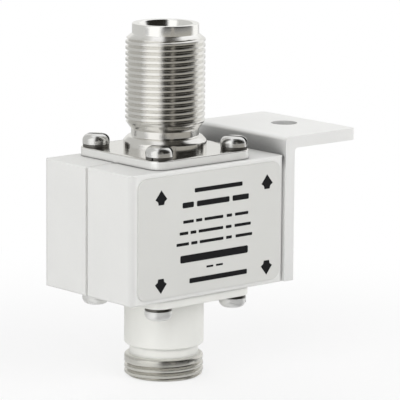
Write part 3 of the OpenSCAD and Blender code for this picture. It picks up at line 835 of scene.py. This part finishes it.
class ARRESTOR_OT_stage(bpy.types.Operator):
    """Sets the floor, the cards, the lights, the sky and the camera"""

    bl_idname = "arrestor.stage"
    bl_label = "Stage"

    def execute(self, context):
        scene, s = context.scene, context.scene.arrestor_stage
        self.floor(s)
        self.sky(scene, s)
        self.lights(s)
        self.cards(s)
        self.camera(scene, s)
        scene.view_settings.view_transform = "Standard"
        return {"FINISHED"}

    def floor(self, s):
        """A flat round floor whose far part shows plain white and whose near part keeps the shadow.

        From below it is clear, and it is open under the rim, so light reaches the lower mouth."""
        shell = Shell()
        angle = np.linspace(0, 2 * np.pi, 64, endpoint=False)[None, :]
        radius = np.array([[FLOOR_OPENING], [0.3], [1.0], [4.0]])
        x, y = radius * np.cos(angle), radius * np.sin(angle)
        shell.grid(np.stack([AXIS_X + x, y, FLOOR_LEVEL + 0 * x], -1), wrap_columns=True)
        f = Finish("floor")
        where = f.node("ShaderNodeTexCoord", out="Object")
        middle = (-AXIS_X, 0, -LOW_RIM)
        flat = f.node("ShaderNodeMapping", {}, {"Vector": where, "Location": middle})
        away = f.node("ShaderNodeVectorMath", {"operation": "LENGTH"}, {0: flat}, out="Value")
        far = f.ramp(away, 0.03, 0.13, 0.72, 1.0)
        seen = f.node("ShaderNodeLightPath", out="Is Camera Ray")
        diffuse = f.node("ShaderNodeBsdfDiffuse", {}, {"Color": (*s.floor_colour, 1)})
        white = f.node("ShaderNodeEmission", {}, {"Color": (1, 1, 1, 1), "Strength": 1.0})
        mixed = f.node("ShaderNodeMixShader", {}, {0: seen * far, 1: diffuse, 2: white})
        below = f.node("ShaderNodeNewGeometry", out="Backfacing")
        clear = f.node("ShaderNodeBsdfTransparent")
        mixed = f.node("ShaderNodeMixShader", {}, {0: below, 1: mixed, 2: clear})
        f.node("ShaderNodeOutputMaterial", {}, {"Surface": mixed})
        ground = shell.build("floor", f.material)
        if ground.data.polygons[0].normal.z < 0:
            ground.data.flip_normals()

    def sky(self, scene, s):
        """Even light from all round, and plain white where the camera or a mirror sees it."""
        world = bpy.data.worlds.new("sky")
        world.use_nodes = True
        scene.world = world
        f = Finish("sky", world.node_tree)
        seen = f.node("ShaderNodeLightPath", out="Is Camera Ray")
        for kind in ("Is Glossy Ray", "Is Transmission Ray"):
            ray = f.node("ShaderNodeLightPath", out=kind)
            seen = f.node("ShaderNodeMath", {"operation": "MAXIMUM"}, {0: seen, 1: ray})
        even = f.node("ShaderNodeBackground", {}, {"Color": (1, 1, 1, 1), "Strength": s.sky_light})
        white = f.node("ShaderNodeBackground", {}, {"Color": (1, 1, 1, 1), "Strength": 1.0})
        back = f.node("ShaderNodeMixShader", {}, {0: seen, 1: even, 2: white})
        f.node("ShaderNodeOutputWorld", {}, {"Surface": back})

    def lights(self, s):
        """A large key from the upper left, a fill from the right and a weaker light from behind."""
        for name, turn, rise, far, size, power in (
            ("key", -62, 28, 0.55, 0.45, s.key_power), ("fill", 15, 24, 0.6, 0.4, s.fill_power),
            ("rim", 160, 35, 0.6, 0.4, 0.55 * s.fill_power),
        ):
            lamp = bpy.data.lights.new(name, "AREA")
            lamp.size = size
            lamp.energy = power
            thing = bpy.data.objects.new(name, lamp)
            a, e = math.radians(turn), math.radians(rise)
            level = math.cos(e)
            spot = MIDDLE + far * Vector((math.sin(a) * level, -math.cos(a) * level, math.sin(e)))
            aim = (spot - MIDDLE).to_track_quat("Z", "Y").to_matrix().to_4x4()
            thing.matrix_world = Matrix.Translation(spot) @ aim
            thing.visible_glossy = False
            bpy.context.scene.collection.objects.link(thing)

    def cards(self, s):
        """Cards on a dome that stands on the floor and covers it, and two flat ones overhead.

        A dome point lies along its azimuth and elevation from the housing's middle, at the dome's
        radius or where that line meets the floor, whichever is nearer. Later cards stand a little
        in front of earlier ones. Each card has its first and last azimuth from the camera's, its
        lowest and highest elevation, the share of its width over which it fades, and its shade."""
        rows = np.linspace(-1, 1, 61)[:, None]
        turn = np.linspace(-1, 1, 41)[None, :]
        for order, (name, first, last, low, high, fade, shade) in enumerate((
            ("dim_card", -20, 113, -11, -1, 0.28, (0.42, 0.405, 0.365)),
            ("high_card", -20, 113, -3.5, 80, 0.28, (0.02, 0.019, 0.016)),
            ("dark_card", -20, 113, -60, -7.5, 0.28, (0.012, 0.011, 0.009)),
            ("grey_card", -178, -66, -60, 60, 0.2, (0.60, 0.60, 0.585)),
            ("bright_card", -66, -10, -60, 60, 0.5, (1.1, 1.1, 1.08)),
            ("back_card", 148, 212, -5, 36, 0.3, (0.85, 0.85, 0.83)),
            ("strip_card", 17, 33, -60, 34, 0.7, (0.36, 0.345, 0.315)),
            ("pale_card", 103, 152, -60, 30, 0.4, (1.0, 1.0, 0.98)),
        )):
            a = s.azimuth + np.radians((first + last) / 2 + turn * (last - first) / 2)
            e = np.radians((low + high) / 2 + rows * (high - low) / 2)
            drop = MIDDLE.z - LOW_RIM - (0.2 + 0.1 * order) * MM
            far = np.minimum(0.8 - 0.01 * order, drop / np.maximum(-np.sin(e), 1e-6))
            level = far * np.cos(e)
            points = np.stack([level * np.sin(a), -level * np.cos(a), far * np.sin(e) + 0 * a], -1)
            cover = self.fade(turn, fade) * self.fade(rows, 0.2)
            self.card(name, points + np.array(MIDDLE), cover, shade)
        side = np.array([math.cos(s.azimuth), math.sin(s.azimuth), 0])
        near = np.array([math.sin(s.azimuth), -math.cos(s.azimuth), 0])
        for name, left, right, back, front, shade in (
            ("dark_overhead", -0.08, 0.45, -0.2, 0.75, (0.07, 0.066, 0.058)),
            ("grey_overhead", -1.1, -0.2, -0.6, 0.75, (0.6, 0.6, 0.58)),
        ):
            u = (left + right) / 2 + rows * (right - left) / 2
            v = (back + front) / 2 + turn * (front - back) / 2
            points = u[..., None] * side + v[..., None] * near + np.array((AXIS_X, 0, 0.7))
            self.card(name, points, self.fade(rows, 0.35) * self.fade(turn, 0.3), shade)

    def fade(self, t, part):
        """One in the middle, falling smoothly to nothing over the outer part of -1 to 1."""
        x = np.clip((1 - np.abs(t)) / part, 0, 1)
        return x * x * (3 - 2 * x)

    def card(self, name, points, cover, shade):
        """A card that only mirrors see and that fades where its cover falls."""
        f = Finish(name)
        solid = f.node("ShaderNodeAttribute", {"attribute_name": "cover"}, out="Fac")
        light = f.node("ShaderNodeEmission", {}, {"Color": (*shade, 1), "Strength": 1.0})
        clear = f.node("ShaderNodeBsdfTransparent")
        mixed = f.node("ShaderNodeMixShader", {}, {0: solid, 1: clear, 2: light})
        f.node("ShaderNodeOutputMaterial", {}, {"Surface": mixed})
        mesh = bpy.data.meshes.new(name)
        rows, columns = points.shape[:2]
        n = np.arange(rows * columns).reshape(rows, columns)
        quads = np.stack([n[:-1, :-1], n[1:, :-1], n[1:, 1:], n[:-1, 1:]], -1).reshape(-1, 4)
        mesh.from_pydata(points.reshape(-1, 3).tolist(), [], quads.tolist())
        held = mesh.attributes.new("cover", "FLOAT", "POINT")
        held.data.foreach_set("value", cover.ravel().astype(np.float32))
        mesh.materials.append(f.material)
        card = bpy.data.objects.new(name, mesh)
        bpy.context.scene.collection.objects.link(card)
        card.visible_camera = False
        card.visible_diffuse = False
        card.visible_shadow = False
        card.visible_transmission = False

    def camera(self, scene, s):
        """A long lens that has the housing's middle at (across, up, distance) in its own axes."""
        cos, sin = math.cos(-s.azimuth), math.sin(-s.azimuth)
        level = Vector((cos, -sin, 0))
        down = Vector((0, 0, math.sin(s.elevation)))
        ahead = math.cos(s.elevation) * Vector((sin, cos, 0)) - down
        rise = level.cross(ahead)
        right = level * math.cos(s.roll) + rise * math.sin(s.roll)
        top = rise * math.cos(s.roll) - level * math.sin(s.roll)
        spot = MIDDLE - right * s.across - top * s.up - ahead * s.distance
        view = bpy.data.cameras.new("view")
        view.lens = s.lens
        view.sensor_width = 36.0
        view.clip_start = 0.01
        view.clip_end = 50.0
        eye = bpy.data.objects.new("view", view)
        turn = Matrix((right, top, -ahead)).transposed().to_4x4()
        eye.matrix_world = Matrix.Translation(spot) @ turn
        scene.collection.objects.link(eye)
        scene.camera = eye


STEPS = (
    ARRESTOR_OT_antenna_jack, ARRESTOR_OT_equipment_jack, ARRESTOR_OT_screws, ARRESTOR_OT_housing,
    ARRESTOR_OT_label_print, ARRESTOR_OT_inner_parts, ARRESTOR_OT_stage,
)


class ARRESTOR_PT_panel(bpy.types.Panel):
    """Lists the steps and their sizes"""

    bl_idname = "ARRESTOR_PT_panel"
    bl_label = "Coax lightning arrestor"
    bl_space_type = "VIEW_3D"
    bl_region_type = "UI"
    bl_category = "Arrestor"

    def draw(self, context):
        column = self.layout.column()
        for step in STEPS:
            column.operator(step.bl_idname)
        for group in ("arrestor_jacks", "arrestor_screws", "arrestor_colours", "arrestor_stage"):
            values = getattr(context.scene, group)
            for key in values.__annotations__:
                column.prop(values, key)


GROUPS = {
    "arrestor_jacks": ArrestorJackSizes, "arrestor_screws": ArrestorScrewSizes,
    "arrestor_colours": ArrestorColours, "arrestor_stage": ArrestorStage,
}


def register():
    for group, kind in GROUPS.items():
        bpy.utils.register_class(kind)
        setattr(bpy.types.Scene, group, bpy.props.PointerProperty(type=kind))
    for kind in (*STEPS, ARRESTOR_PT_panel):
        bpy.utils.register_class(kind)


def unregister():
    for kind in (ARRESTOR_PT_panel, *reversed(STEPS)):
        bpy.utils.unregister_class(kind)
    for group, kind in GROUPS.items():
        delattr(bpy.types.Scene, group)
        bpy.utils.unregister_class(kind)


def main():
    register()
    bpy.ops.arrestor.antenna_jack()
    bpy.ops.arrestor.equipment_jack()
    bpy.ops.arrestor.screws()
    bpy.ops.arrestor.housing()
    bpy.ops.arrestor.label_print()
    bpy.ops.arrestor.inner_parts()
    bpy.ops.arrestor.stage()


if __name__ == "__main__":
    main()
